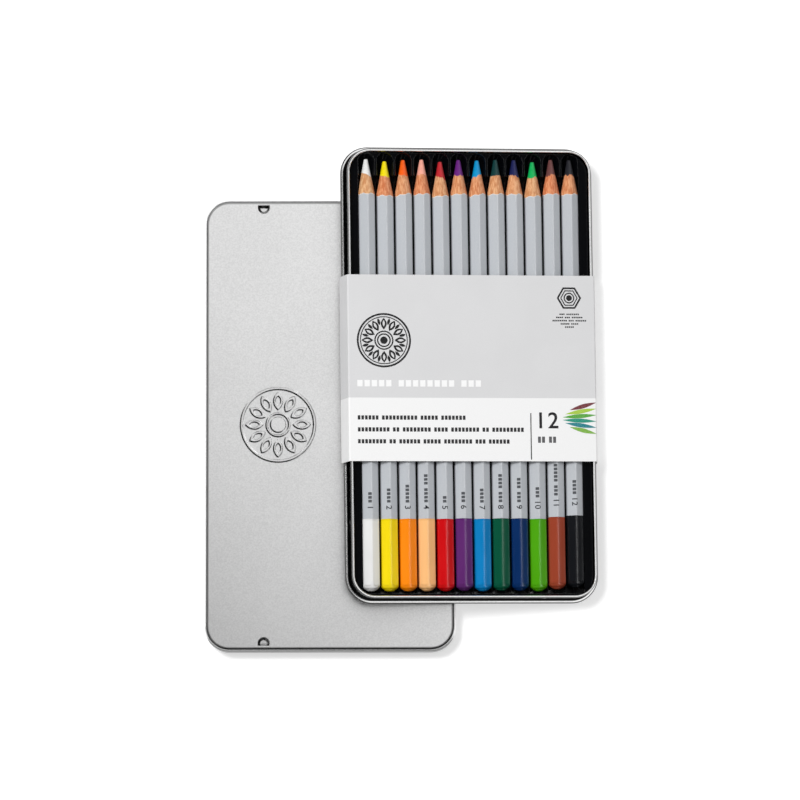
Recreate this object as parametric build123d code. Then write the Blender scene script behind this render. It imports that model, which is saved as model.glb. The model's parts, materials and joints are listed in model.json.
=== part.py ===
from build123d import *
import math
import os

# A slim tin of twelve coloured pencils, opened. The lid lies face up on the table. The
# base leans on the lid's long edge and holds a moulded tray, the pencils and a card sleeve.
# Millimetres, +Z up, +Y from the pencils' dipped ends to their points. The origin is on
# the table, below the middle of the whole object's box.

# Pencils
pencil_length = 175.1
across_flats = 6.55
hex_edge_radius = 1.0
pencil_roll = 30.0
pencil_spacing = 1.018
core_diameter = 4.0
core_clearance = 0.02
point_diameter = 1.5
point_radius = 0.35
sharpening_angle = 10.9
dip_length = 29.1
dip_coat = 0.09
dome_length = 2.4
bare_end = 0.8
bare_end_rim = 0.2

# Each pencil's name, how far its dipped end lies in from the row's line, and how much
# shorter it is because it was sharpened further.
PENCILS = [
    ("white", 0.0, 0.0),
    ("yellow", 0.0, 0.8),
    ("orange", 0.0, 0.2),
    ("peach", 0.1, 0.1),
    ("red", 0.0, 0.8),
    ("plum", 0.2, 0.2),
    ("azure", 0.0, 0.1),
    ("dark_green", 0.2, 0.0),
    ("dark_blue", 0.2, 0.0),
    ("grass_green", 0.0, 0.6),
    ("sienna", 0.8, 0.4),
    ("black", 1.4, 1.0),
]

# Tinplate base
sheet = 0.3
side_margin = 6.669
end_margin = 5.05
base_corner_radius = 11.0
base_height = 10.0
step_height = 2.1
step_width = 1.9
bottom_edge_radius = 1.2
step_edge_radius = 0.6
curl_diameter = 1.1
curl_roundness = 0.96
dent_diameter = 6.0
dent_depth = 0.6
dent_place_across = 26.7
dent_place_along = -61.5

# Tinplate lid
lid_clearance = 0.45
lid_height = 8.5
lid_edge_radius = 1.5
hem_height = 2.0
pocket_width = 4.8
pocket_reach = 3.4
pocket_depth = 1.8
pocket_slope = 28.0
pocket_clearance = 0.15
pocket_place = -26.7
rosette_place = -20.9
rosette_radius = 15.4
rosette_height = 0.4
relief_slope = 40.0
petal_count = 12
petal_length = 7.6
petal_width = 4.0
petal_point = 2.0
petal_gap = 0.7
line_width = 1.1
ring_width = 1.3

# Moulded tray
film = 0.4
tray_clearance = 0.12
tray_height = 7.0
ridge_height = 4.9
groove_clearance = 0.2
pencil_seat_height = 1.9
end_clearance = 0.83
channel_width = 2.5
channel_to_point = 6.6
point_pocket_width = 2.9
point_pocket_slope = 27.0
point_pocket_floor = 3.1
point_clearance = 0.7
row_offset = -0.52

# Card sleeve
card = 0.35
sleeve_length = 75.4
sleeve_place = 1.8
sleeve_clearance = 0.15
fold_radius = 0.5
low_fold_out = 0.4
high_fold_out = 0.25

# How the base leans on the lid
lean_reach = 57.1
lean_clearance = 0.2
base_along = 19.9
base_turn = 0.65

# Worked-out sizes of the pencils
flat_radius = across_flats / 2
corner_radius = flat_radius / math.cos(math.radians(30)) - hex_edge_radius * (
    1 / math.cos(math.radians(30)) - 1)
pitch = across_flats + pencil_spacing
row_width = pitch * (len(PENCILS) - 1) + across_flats
axis_height = pencil_seat_height + corner_radius
sharpening_slope = math.tan(math.radians(sharpening_angle))
row_tip = row_offset + pencil_length / 2
row_end = row_offset - pencil_length / 2

# Worked-out sizes of the tin, which is made to fit the row of pencils
base_width = row_width + 2 * side_margin
base_length = pencil_length + 2 * end_margin
curl_radius = curl_diameter / 2
wall_width = base_width - 2 * step_width
wall_length = base_length - 2 * step_width
curl_inset = step_width + sheet
rim_out = curl_inset - curl_radius
rim_in = curl_inset + curl_radius
lid_inset = rim_out - lid_clearance - sheet
lid_width = base_width - 2 * lid_inset
lid_length = base_length - 2 * lid_inset
lid_corner_radius = base_corner_radius - lid_inset


def rounded_block(width, length, radius, bottom, top):
    """A block with rounded upright corners between two heights."""
    outline = RectangleRounded(width, length, radius)
    return Pos(0, 0, bottom) * extrude(outline, amount=top - bottom)


def inset_block(inset, bottom, top):
    """A block that follows the base's outline, moved in by a distance."""
    return rounded_block(
        base_width - 2 * inset, base_length - 2 * inset, base_corner_radius - inset, bottom, top)


def top_edges(solid):
    return solid.faces().sort_by(Axis.Z)[-1].edges()


def bottom_edges(solid):
    return solid.faces().sort_by(Axis.Z)[0].edges()


def make_base_tin():
    low = inset_block(0, 0, step_height)
    low = fillet(bottom_edges(low), bottom_edge_radius)
    low = fillet(top_edges(low), step_edge_radius)
    low_hollow = inset_block(sheet, sheet, step_height - sheet)
    low_hollow = fillet(bottom_edges(low_hollow), bottom_edge_radius - sheet)
    low_hollow = fillet(top_edges(low_hollow), step_edge_radius - sheet)
    wall_top = base_height - curl_radius
    wall = inset_block(step_width, sheet, wall_top)
    wall_hollow = inset_block(step_width + sheet, sheet, base_height)
    tin = low + wall - low_hollow - wall_hollow
    dent_height = (step_height + base_height - curl_diameter) / 2
    half_dent = dent_diameter / 2
    ball_radius = (half_dent ** 2 + dent_depth ** 2) / (2 * dent_depth)
    ball_out = ball_radius - dent_depth
    places = [
        Pos(dent_place_across, wall_length / 2 + ball_out, dent_height),
        Pos(dent_place_across, -wall_length / 2 - ball_out, dent_height),
        Pos(-wall_width / 2 - ball_out, dent_place_along, dent_height) * Rot(0, 0, 180),
    ]
    inside = inset_block(step_width + sheet / 2, step_height, wall_top)
    above_step = inset_block(0, step_height, wall_top)
    for place in places:
        tin += place * Sphere(ball_radius + sheet) & inside
        tin -= place * Sphere(ball_radius) & above_step
    curl = inset_block(rim_out, base_height - curl_diameter, base_height)
    curl -= inset_block(rim_in, 0, base_height + sheet)
    rings = curl.edges().group_by(Axis.Z)
    return tin + fillet(rings[0] + rings[-1], curl_radius * curl_roundness)


def pocket_shape(extra, depth):
    """A pressed pocket with one straight side along the X axis and sloping walls."""
    radius = pocket_width / 2
    square = pocket_reach - radius
    half_round = Pos(0, -square) * Circle(radius + extra)
    upper = Pos(0, -square / 2 + extra / 2) * Rectangle(pocket_width + 2 * extra, square + extra)
    below = Pos(0, -square - radius) * Rectangle(4 * pocket_width, 2 * radius)
    outline = upper + (half_round & below)
    return extrude(outline, amount=-depth, taper=pocket_slope)


def raised(outline, slope):
    """A shape pressed up from the lid's face, with sloping sides."""
    return extrude(outline, amount=rosette_height, taper=slope)


def raised_line(outer, inner):
    """A raised line between two outlines, sloping on both sides."""
    return raised(outer, relief_slope) - raised(inner, -relief_slope)


def petal_outline(length, width):
    """A pointed petal along X, its middle at the origin."""
    half = length / 2
    side = ThreePointArc((-half, 0), (0, -width / 2), (half, 0))
    other = ThreePointArc((half, 0), (0, width / 2), (-half, 0))
    return make_face(side + other)


def make_rosette():
    """A raised flower of petals between two rings, as pressed from inside the lid."""
    petal_middle = rosette_radius - ring_width - petal_gap - petal_length / 2
    petal = raised_line(
        petal_outline(petal_length, petal_width),
        petal_outline(petal_length - 2 * petal_point, petal_width - 2 * line_width))
    hub_radius = petal_middle - petal_length / 2 - petal_gap
    rosette = raised_line(Circle(rosette_radius), Circle(rosette_radius - ring_width))
    rosette += raised_line(Circle(hub_radius), Circle(hub_radius - line_width))
    rosette += raised(Circle(hub_radius - line_width - petal_gap), relief_slope)
    for number in range(petal_count):
        turn = 360 / petal_count * number
        rosette += Rot(0, 0, turn) * Pos(petal_middle, 0) * petal
    return rosette


def make_lid():
    shell = rounded_block(lid_width, lid_length, lid_corner_radius, 0, lid_height)
    shell = fillet(top_edges(shell), lid_edge_radius)
    hollow = rounded_block(
        lid_width - 2 * sheet, lid_length - 2 * sheet, lid_corner_radius - sheet,
        -sheet, lid_height - sheet)
    hollow = fillet(top_edges(hollow), lid_edge_radius - sheet)
    hem = rounded_block(
        lid_width - sheet, lid_length - sheet, lid_corner_radius - sheet / 2, 0, hem_height)
    hem -= rounded_block(
        lid_width - 4 * sheet, lid_length - 4 * sheet, lid_corner_radius - 2 * sheet,
        -sheet, hem_height + sheet)
    hem = fillet(hem.edges().filter_by(GeomType.LINE).group_by(Axis.Z)[-1], sheet / 4)
    lid = shell - hollow + hem
    straight_side = base_length / 2 - rim_in - pocket_clearance - sheet
    for turn in (0, 180):
        side = 1 if turn == 0 else -1
        place = Rot(0, 0, turn) * Pos(side * pocket_place, straight_side, lid_height)
        lid += place * pocket_shape(sheet, pocket_depth + sheet)
        lid -= place * pocket_shape(0, pocket_depth)
    lid += Pos(rosette_place, 0, lid_height) * make_rosette()
    return lid


def make_tray():
    """The tray as a film: its top form, less the same form moved in by the film."""
    edge = rim_in + tray_clearance
    top = inset_block(edge, sheet, tray_height) - tray_form(0)
    under = inset_block(edge + film, sheet, tray_height - film) - tray_form(film)
    return top - under


def tray_form(grow):
    """Everything that is pressed down into the tray, each face moved out by a distance."""
    seat = pencil_seat_height - groove_clearance
    far_end = row_end - end_clearance
    channel_end = row_tip - channel_to_point
    ridges_end = channel_end - channel_width
    well_width = row_width + 2 * groove_clearance + 2 * grow
    well = Pos(0, (far_end + channel_end) / 2, ridge_height - grow) * Box(
        well_width, channel_end - far_end + 2 * grow, tray_height,
        align=(Align.CENTER, Align.CENTER, Align.MIN))
    channel = Pos(0, (ridges_end + channel_end) / 2, seat - grow) * Box(
        well_width, channel_width + 2 * grow, tray_height,
        align=(Align.CENTER, Align.CENTER, Align.MIN))
    form = well + channel
    half_hex = flat_radius + groove_clearance + grow
    hexagon = Rot(0, 0, pencil_roll) * RegularPolygon(half_hex, 6, major_radius=False)
    floor_cut = Pos(0, seat - grow - half_hex / 2 - axis_height) * Rectangle(
        4 * half_hex, half_hex)
    groove_section = hexagon - floor_cut
    groove = extrude(Plane.XZ * groove_section, amount=(ridges_end - far_end) / 2 + grow, both=True)
    slot_middle = (row_tip + point_clearance + ridges_end) / 2
    slot_length = row_tip + point_clearance - ridges_end
    slot_outline = Rot(0, 0, 90) * SlotOverall(slot_length, point_pocket_width + 2 * grow)
    slot = extrude(
        slot_outline, amount=tray_height - point_pocket_floor + 2 * grow,
        taper=-point_pocket_slope)
    for number in range(len(PENCILS)):
        across = pencil_across(number)
        form += Pos(across, (far_end + ridges_end) / 2, axis_height) * groove
        form += Pos(across, slot_middle, point_pocket_floor - grow) * slot
    return form


def pencil_across(number):
    """How far a pencil's axis lies from the middle of the row."""
    return pitch * (number - (len(PENCILS) - 1) / 2)


def make_sleeve():
    low_half = base_width / 2 + low_fold_out
    high_half = base_width / 2 - rim_out + high_fold_out
    bottom = -sleeve_clearance
    top = base_height + sleeve_clearance
    corners = [(low_half, bottom), (high_half, top), (-high_half, top), (-low_half, bottom)]
    opening = Polygon(*corners, align=None)
    inner = fillet(opening.vertices(), fold_radius - card / 2)
    outer = offset(inner, card)
    return Pos(0, sleeve_place, 0) * extrude(Plane.XZ * (outer - inner), sleeve_length / 2, both=True)


def hexagon_bar(coat, start, end):
    """A rounded hexagonal bar along Y, one edge up, moved out by a coat."""
    outline = RegularPolygon(flat_radius + coat, 6, major_radius=False)
    outline = Rot(0, 0, pencil_roll) * fillet(outline.vertices(), hex_edge_radius + coat)
    middle = (start + end) / 2
    return Pos(0, middle, 0) * extrude(Plane.XZ * outline, (end - start) / 2, both=True)


def cone_form(tip):
    """The sharpener's cone along Y, with its blunt point at the tip."""
    wide = across_flats
    tip_half = point_diameter / 2
    shoulder = tip - (wide - tip_half) / sharpening_slope
    outline = Polyline(
        (0, 0), (wide, 0), (wide, shoulder), (tip_half, tip), (0, tip), close=True)
    return revolve(make_face(outline), Axis.Y)


def dome_form(tip):
    """The round form of the dipped end: a cap of a ball, then straight up to the tip."""
    half = corner_radius + dip_coat
    ball_radius = (half ** 2 + dome_length ** 2) / (2 * dome_length)
    half_turn = math.asin(half / ball_radius) / 2
    on_cap = (ball_radius * math.sin(half_turn), ball_radius * (1 - math.cos(half_turn)))
    cap = ThreePointArc((0, 0), on_cap, (half, dome_length))
    rest = Polyline((half, dome_length), (half, tip), (0, tip), (0, 0))
    return revolve(make_face(cap + rest), Axis.Y)


def chamfer_form(tip):
    """The round form of the bare wood's end: a cone that leaves room for the dip's dome."""
    end_radius = core_diameter / 2 + bare_end_rim
    outline = Polyline(
        (0, bare_end), (end_radius, bare_end), (corner_radius, dome_length),
        (corner_radius, tip), (0, tip), close=True)
    return revolve(make_face(outline), Axis.Y)


def core_bore(tip):
    """The round hole along Y that the core is glued into."""
    radius = core_diameter / 2 + core_clearance
    return Pos(0, bare_end, 0) * Rot(-90, 0, 0) * Cylinder(
        radius, tip - bare_end, align=(Align.CENTER, Align.CENTER, Align.MIN))


def make_core(tip):
    """The coloured core along Y, sharpened to a blunt point at the tip."""
    radius = core_diameter / 2
    tip_half = point_diameter / 2
    shoulder = tip - (radius - tip_half) / sharpening_slope
    outline = Polyline(
        (0, bare_end), (radius, bare_end), (radius, shoulder), (tip_half, tip), (0, tip), close=True)
    core = revolve(make_face(outline), Axis.Y)
    return fillet(core.edges().group_by(Axis.Y)[-1], point_radius)


def make_pencil(shorter):
    """Casing, core and dipped end of one pencil, its axis on Y and its end at 0."""
    tip = pencil_length - shorter
    blank = hexagon_bar(0, bare_end, tip) & cone_form(tip) & chamfer_form(tip)
    casing = blank - core_bore(tip)
    dipped_end = (hexagon_bar(dip_coat, 0, dip_length) & dome_form(tip)) - blank
    return casing, make_core(tip), dipped_end


def lean_place():
    """The base's place beside the lid: leaned, turned and resting on the lid's edge."""
    fold_out_radius = fold_radius + card / 2
    edge_height = lid_height - lid_edge_radius
    edge_across = lid_width / 2 - lid_edge_radius
    fold_across = lid_width / 2 + lean_reach - fold_out_radius
    run = fold_across - edge_across
    drop = edge_height - fold_out_radius
    span = math.hypot(run, drop)
    touch = lid_edge_radius + lean_clearance + fold_out_radius
    lean = math.atan2(drop, run) + math.asin(touch / span)
    fold_local_across = base_width / 2 + low_fold_out + card - fold_out_radius
    fold_local_up = fold_out_radius - sleeve_clearance - card
    across = fold_across - fold_local_across * math.cos(lean) - fold_local_up * math.sin(lean)
    up = fold_out_radius + fold_local_across * math.sin(lean) - fold_local_up * math.cos(lean)
    return Pos(across, base_along, up) * Rot(0, 0, base_turn) * Rot(0, math.degrees(lean), 0)


def make_parts():
    leaned = lean_place()
    parts = {
        "lid": make_lid(),
        "base_tin": leaned * make_base_tin(),
        "pencil_tray": leaned * make_tray(),
        "card_sleeve": leaned * make_sleeve(),
    }
    for number, (name, inward, shorter) in enumerate(PENCILS):
        place = leaned * Pos(pencil_across(number), row_end + inward, axis_height)
        casing, core, dipped_end = make_pencil(shorter)
        parts[f"pencil_{name}_casing"] = place * casing
        parts[f"pencil_{name}_core"] = place * core
        parts[f"pencil_{name}_dipped_end"] = place * dipped_end
    whole = Compound(children=[Compound(solid.solids()) for solid in parts.values()])
    box = whole.bounding_box()
    middle = Pos(-box.center().X, -box.center().Y, -box.min.Z)
    return {name: middle * solid for name, solid in parts.items()}


os.makedirs("parts", exist_ok=True)
for node, solid in make_parts().items():
    export_step(solid, f"parts/{node}.step")
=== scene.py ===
import json
import math

import bmesh
import bpy
import numpy as np
from mathutils import Matrix, Vector


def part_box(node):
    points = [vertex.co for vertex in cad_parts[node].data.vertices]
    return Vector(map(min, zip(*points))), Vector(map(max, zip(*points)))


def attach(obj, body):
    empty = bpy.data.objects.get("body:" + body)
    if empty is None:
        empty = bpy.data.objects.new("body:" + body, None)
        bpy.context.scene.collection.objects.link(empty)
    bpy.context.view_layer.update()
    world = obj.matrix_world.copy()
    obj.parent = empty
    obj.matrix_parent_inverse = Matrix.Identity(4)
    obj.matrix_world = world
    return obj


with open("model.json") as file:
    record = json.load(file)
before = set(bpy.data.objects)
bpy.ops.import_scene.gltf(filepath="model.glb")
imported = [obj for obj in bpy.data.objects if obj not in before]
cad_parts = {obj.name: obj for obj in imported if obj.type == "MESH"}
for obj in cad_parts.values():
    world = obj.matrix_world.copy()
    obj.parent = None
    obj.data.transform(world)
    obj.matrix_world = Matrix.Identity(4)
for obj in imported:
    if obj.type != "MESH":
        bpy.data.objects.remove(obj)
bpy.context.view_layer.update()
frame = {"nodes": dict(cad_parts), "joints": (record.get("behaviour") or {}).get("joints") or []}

# The looks of a slim tin of twelve coloured pencils, opened, with its lid beside it.
# Lengths are in metres. Sizes of prints and of material detail are in millimetres, and
# MM turns them into metres.
MM = 0.001

# Camera, as found from the photograph's edges of the lid, the base and the pencils
PICTURE_SIZE = 800
PIXELS_PER_METRE = 2476.9
CAMERA_TIP = math.radians(6.33)
CAMERA_ROLL = math.radians(0.11)
CAMERA_TARGET = Vector((-0.0004, -0.00086, 0.010))
CAMERA_DISTANCE = 2.4
SENSOR_WIDTH = 36.0
CAMERA_CLIP = (0.1, 20.0)

# Light: the world's even level, and in reflections the share of the sky's height up to
# which it is white, over what share it darkens, and how dark it is above
WORLD_LEVEL = 0.42
LOW_WALL = 0.02
LOW_WALL_FADE = 0.12
STUDIO_DARK = 0.04

# The floor: its half width, its paper's two tones, and its glow where it is looked at
FLOOR_REACH = 6.0
FLOOR_ALBEDO = 0.75
FLOOR_MOTTLE = 0.01
FLOOR_GLOW = 0.5

# The key lamp, in metres and watts
KEY_SPOT = (-0.72, 0.55, 1.8)
KEY_SIZE = (0.6, 0.6)
KEY_WATTS = 30.0
ORIGIN = (0.0, 0.0, 0.0)

# Pale walls round the lid, which its flat top mirrors in the views from the sides
LID_AIM = (-0.05, 0.0, 0.0)
LID_WALLS = 6
LID_WALL_REACH = 1.2
LID_WALL_HEIGHT = 0.45
LID_WALL_SIZE = (1.3, 0.5)
LID_WALL_LEVEL = 0.6

# Pencils, from the photograph's left to its right: the dip's colour, the core's colour,
# the wood's tone, from 0, pale tan, to 1, orange brown, and how far the lacquer's edge and
# the core's edge climb from left to right, in millimetres
PENCILS = {
    "white": ((233, 233, 232), (242, 242, 240), 0.2, 0.1, -1.9),
    "yellow": ((245, 218, 2), (250, 228, 0), 0.75, -0.1, -1.5),
    "orange": ((253, 138, 4), (253, 98, 14), 0.5, 1.4, -0.6),
    "peach": ((253, 194, 128), (250, 172, 152), 0.8, 0.5, 0.1),
    "red": ((206, 4, 12), (196, 38, 46), 0.35, 0.6, -2.0),
    "plum": ((96, 40, 112), (108, 34, 130), 0.55, 0.4, 0.1),
    "azure": ((0, 128, 194), (0, 150, 208), 0.6, 1.2, 1.5),
    "dark_green": ((0, 84, 58), (14, 62, 62), 0.35, 0.5, 0.5),
    "dark_blue": ((2, 44, 98), (28, 34, 88), 0.45, 0.3, -0.8),
    "grass_green": ((76, 166, 4), (8, 180, 90), 0.3, 0.6, 0.8),
    "sienna": ((158, 66, 42), (112, 68, 66), 0.9, 0.2, 0.6),
    "black": ((20, 22, 26), (40, 40, 46), 0.6, 0.4, -0.5),
}
SHARPENING_SLOPE = math.tan(math.radians(10.9))
POINT_RADIUS_MM = 0.75
CORE_RADIUS_MM = 2.0
LACQUER_RADIUS_MM = 3.45
SCALLOP_MM = 0.22

# How far the lacquer's edge is chipped and the core's edge strays, both from end to end
CHIPS_MM = 0.5
FRINGE_MM = 3.2

# How far each pencil's noise is shifted along it from the last one's, in metres, and what
# is added to a pencil's number for its grain, its flecks and its core's edge
NOISE_SHIFT = 0.5
DIP_SHIFT = 0.7
GRAIN_SEED = 20
FLECK_SEED = 40
FRINGE_SEED = 60

# Corner radii of the lid's and the base's outlines, the lid's pressed rosette, from the lid's middle,
# how far past it the rosette's painted slope shade and highlight give way to the painted shade of the
# pressed pockets, and how far in from the base's outline the middle of its rim lies
LID_CORNER_MM = 10.1
BASE_CORNER_MM = 11.0
ROSETTE_MIDDLE_MM = (-20.9, 0.0)
ROSETTE_RADIUS_MM = 15.4
ROSETTE_FADE_MM = (0.5, 1.0)
RIM_MIDDLE_MM = 2.2

# How far the shading rounds edges: film drawn warm over the tray, thick lacquer on the pencils, and the
# soft shoulders of what is pressed into the lid, whose rounding also places the painted shade and
# highlight on the rosette's slopes; and how far the rounding reaches that places the painted shade
# along the lid's fold
EDGE_SAMPLES = 6
FILM_EDGE_MM = 0.35
DIP_EDGE_MM = 1.3
BARREL_EDGE_MM = 0.9
PRESSED_EDGE_MM = 0.45
FOLD_EDGE_MM = 1.0

# The lid's bands, in from its outline: where its bend ends, which bounds the painted shade of the bent
# edge, and where the painted shade of its fold line starts and ends, each over a soft edge
BEND_END_MM = (1.6, 2.0)
FOLD_START_MM = (0.65, 0.95)
FOLD_END_MM = (1.6, 1.95)

# The base's bands: where the painted shade at the outer edge of its step fades out, where its step's
# bend ends, how far below the rim the painted shade on its wall reaches, how wide the painted shade on
# the outer side of its rim is, and the heights over which the wall's painted shade lightens towards the
# rim
STEP_EDGE_MM = (0.35, 0.55)
STEP_BEND_END_MM = (0.95, 1.2)
BELOW_RIM_MM = (-0.8, -0.55)
RIM_SIDE_MM = 0.3
SHADE_CLEARS_MM = (2.6, 4.6)

# The span in which most of a noise lies
NOISE_SPAN = (0.3, 0.7)

# The sleeve and its prints, in millimetres from the middle of the base: where the white
# band starts and how soft its edge is, how far in from the sleeve's ends its cut edge
# shows, how thick ink is, what share of that its middle lies above the card, and the pitch
# of blocks as a share of their width
BAND_EDGE = -10.3
BAND_BLUR = 0.04
CUT_EDGE = (0.03, 0.01)
PRINT_THICKNESS = 0.02
PRINT_LIFT = 0.6
LETTER_PITCH = 1.38

# The rosette: rings by radius and width, petals by start, length and width, and its dot
ROSETTE_PRINT_MIDDLE = (-35.9, 12.9)
ROSETTE_OUTER_RINGS = ((11.0, 0.75), (9.7, 0.4))
ROSETTE_INNER_RINGS = ((3.9, 0.55), (2.8, 0.55))
ROSETTE_PETALS = 12
PETAL_OUTLINE = (4.3, 4.8, 2.5)
PETAL_HOLE = (5.5, 2.7, 0.95)
PETAL_BETWEEN = (6.3, 2.9, 1.15)
ROSETTE_DOT = 1.5

# The hexagon: the radii of its lines' edges, its ring and its dot
HEXAGON_MIDDLE = (39.9, 30.4)
HEXAGON_RADII = (5.0, 4.2, 3.6, 3.1)
HEXAGON_RING = (2.2, 0.5)
HEXAGON_DOT = 1.2

# Rows of blocks: the left end, the low edge, a block's width and height, and the number of
# blocks in each word. The rows under the hexagon are centred on it, and the first one's low
# edge and their pitch come after their words.
MARK_WORDS = ((3, 7), (4, 3, 6), (8, 3, 6), (5, 4), (5,))
MARK_TOP = 23.5
MARK_PITCH = 1.3
MARK_BLOCK = (0.55, 0.6)
TITLE_ROWS = ((-46.9, -5.8, 2.12, 2.6, (5, 8, 3)),)
TEXT_ROWS = (
    (-46.9, -19.2, 1.06, 1.7, (6, 10, 5, 7)),
    (-46.9, -24.0, 1.06, 1.7, (9, 2, 8, 4, 8, 2, 9)),
    (-46.9, -28.8, 1.06, 1.7, (8, 2, 6, 5, 8, 3, 6)))
COUNT_ROWS = ((26.3, -28.4, 1.2, 2.5, (2, 2)),)

# The divider's left, right, low and high edges, and the large number's left end and middle
# height, its size, how far its outline is grown, and how widely all digits are set
DIVIDER = (23.3, 23.72, -35.2, -16.4)
COUNT_SPOT = (25.2, -19.7)
COUNT_SIZE = 9.2
COUNT_THICKER = 0.1
DIGIT_SPACING = 1.12

# Strokes, from the top one: their inks, the right end of the first, the pitch, the length
# of the shortest and how much longer the middle ones are, the turn and its change in
# degrees, and the width
STROKE_INKS = {
    "maroon": (116, 40, 48), "lime": (168, 204, 60), "leaf": (84, 168, 52),
    "sea": (0, 146, 122), "teal": (0, 128, 138), "moss": (124, 178, 60)}
STROKE_END = (50.4, -12.0)
STROKE_PITCH = 2.55
STROKE_LENGTH = 10.5
STROKE_LONGER = 3.6
STROKE_TURN = 196
STROKE_FAN = 6.0
STROKE_WIDTH = 1.7

# Prints on the barrels, along each ridge: a digit's width and size, how far its outline is
# grown, a block's width and height and its gap to the number, where the numbers end, how
# far to one side they lie, how sharply the ridge is rounded, and how many blocks stand
# before each number
DIGIT_MM = 2.1
BARREL_DIGIT_SIZE = 3.4
BARREL_THICKER = 0.04
BARREL_BLOCK_MM = 1.1
BARREL_BLOCK_HEIGHT_MM = 1.5
BARREL_BLOCK_GAP_MM = 1.1
BARREL_PRINT_END_MM = 32.4
BARREL_PRINT_SIDE_MM = -0.55
BARREL_RADIUS_MM = 1.0
BARREL_WORDS = ((3,), (4,), (5,), (3, 4), (2,), (3,), (4,), (4, 3), (3, 3), (3,), (5, 3), (4,))


def colour(red, green, blue):
    """A colour for a shader, from sRGB parts of 0 to 255."""
    linear = []
    for part in (red, green, blue):
        share = part / 255
        linear.append(share / 12.92 if share <= 0.04045 else ((share + 0.055) / 1.055) ** 2.4)
    return (*linear, 1.0)


def grey(part):
    """A neutral colour, from one sRGB part."""
    return colour(part, part, part)


def deepened(tint, share):
    """A shader colour at a share of its brightness."""
    return [part * share for part in tint[:3]] + [1.0]


# Places, read from the frame
def along_axes(node, axes, origin):
    """The lowest and highest corner of a node in a turned frame."""
    points = np.array([vertex.co for vertex in frame["nodes"][node].data.vertices])
    turned = (points - np.array(origin)) @ np.array(axes).T
    return turned.min(0), turned.max(0)


def box_middle(node):
    """The middle of a node's box."""
    low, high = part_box(node)
    return (low + high) / 2


def find_base_axes():
    """The base's own axes: across the row, along the pencils and up from the tray."""
    joints = {joint["name"]: joint for joint in frame["joints"]}
    along = Vector(joints["sleeve_slide"]["axis"]).normalized()
    across = box_middle("pencil_black_casing") - box_middle("pencil_white_casing")
    across = (across - along * across.dot(along)).normalized()
    return across, along, across.cross(along)


def place_from(axes, origin):
    """A matrix whose columns are the three axes, with its origin at a point."""
    place = Matrix((axes[0], axes[1], axes[2])).transposed().to_4x4()
    place.translation = origin
    return place


def find_place(node, axes, along_share):
    """A frame at a node: middle across, a share of the way along, and its lowest height."""
    low, high = along_axes(node, axes, (0, 0, 0))
    across = (low[0] + high[0]) / 2
    along = low[1] + (high[1] - low[1]) * along_share
    origin = axes[0] * across + axes[1] * along + axes[2] * low[2]
    return place_from(axes, origin)


BASE_AXES = find_base_axes()
BASE_PLACE = find_place("base_tin", BASE_AXES, 0.5)


def pencil_place(name):
    """A frame on a pencil's axis, at its dipped end."""
    place = find_place(f"pencil_{name}_dipped_end", BASE_AXES, 0.0)
    low, high = along_axes(f"pencil_{name}_casing", BASE_AXES, (0, 0, 0))
    place.translation += BASE_AXES[2] * ((low[2] + high[2]) / 2 - place.translation.dot(BASE_AXES[2]))
    return place


# Shader building
def put(tree, socket, value):
    """Links a socket to another one, or sets its value."""
    if isinstance(value, bpy.types.NodeSocket):
        tree.links.new(value, socket)
    else:
        socket.default_value = value


def number_node(tree, operation, first, second=0.0):
    """The result of an operation on one or two numbers or sockets."""
    node = tree.nodes.new("ShaderNodeMath")
    node.operation = operation
    put(tree, node.inputs[0], first)
    put(tree, node.inputs[1], second)
    return node.outputs[0]


def stepped(tree, value, low, high, out_low=0.0, out_high=1.0):
    """A smooth step from one value to another as a value passes from low to high."""
    node = tree.nodes.new("ShaderNodeMapRange")
    node.interpolation_type = "SMOOTHSTEP"
    put(tree, node.inputs["Value"], value)
    put(tree, node.inputs["From Min"], low)
    put(tree, node.inputs["From Max"], high)
    put(tree, node.inputs["To Min"], out_low)
    put(tree, node.inputs["To Max"], out_high)
    return node.outputs["Result"]


def noise(tree, vector, scale, detail=2.0, roughness=0.5):
    """Soft noise, with a scale in waves to the millimetre where the vector is in them."""
    node = tree.nodes.new("ShaderNodeTexNoise")
    put(tree, node.inputs["Vector"], vector)
    put(tree, node.inputs["Scale"], scale)
    put(tree, node.inputs["Detail"], detail)
    put(tree, node.inputs["Roughness"], roughness)
    return node.outputs["Fac"]


def mixed(tree, share, first, second):
    """A blend of two colours or directions, from the first at 0 to the second at 1."""
    node = tree.nodes.new("ShaderNodeMix")
    node.data_type = "RGBA"
    put(tree, node.inputs[0], share)
    put(tree, node.inputs[6], first)
    put(tree, node.inputs[7], second)
    return node.outputs[2]


def coordinates(tree, place, stretch=(1, 1, 1)):
    """Millimetres in a frame of the part, divided by a stretch along each axis."""
    source = tree.nodes.new("ShaderNodeTexCoord")
    node = tree.nodes.new("ShaderNodeMapping")
    node.vector_type = "TEXTURE"
    node.inputs["Location"].default_value = place.translation
    node.inputs["Rotation"].default_value = place.to_euler()
    node.inputs["Scale"].default_value = [MM * share for share in stretch]
    tree.links.new(source.outputs["Object"], node.inputs["Vector"])
    return node.outputs["Vector"]


def parts_of(tree, vector):
    """A vector's three parts."""
    node = tree.nodes.new("ShaderNodeSeparateXYZ")
    tree.links.new(vector, node.inputs[0])
    return node.outputs


def bumped(tree, height, depth_mm, strength=1.0, normal=None):
    """A surface direction that follows a height."""
    node = tree.nodes.new("ShaderNodeBump")
    node.inputs["Strength"].default_value = strength
    node.inputs["Distance"].default_value = depth_mm * MM
    tree.links.new(height, node.inputs["Height"])
    if normal:
        tree.links.new(normal, node.inputs["Normal"])
    return node.outputs["Normal"]


def rounded(tree, radius_mm):
    """A surface direction that turns softly over edges, as a thick coat does."""
    node = tree.nodes.new("ShaderNodeBevel")
    node.samples = EDGE_SAMPLES
    node.inputs["Radius"].default_value = radius_mm * MM
    return node.outputs["Normal"]


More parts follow.
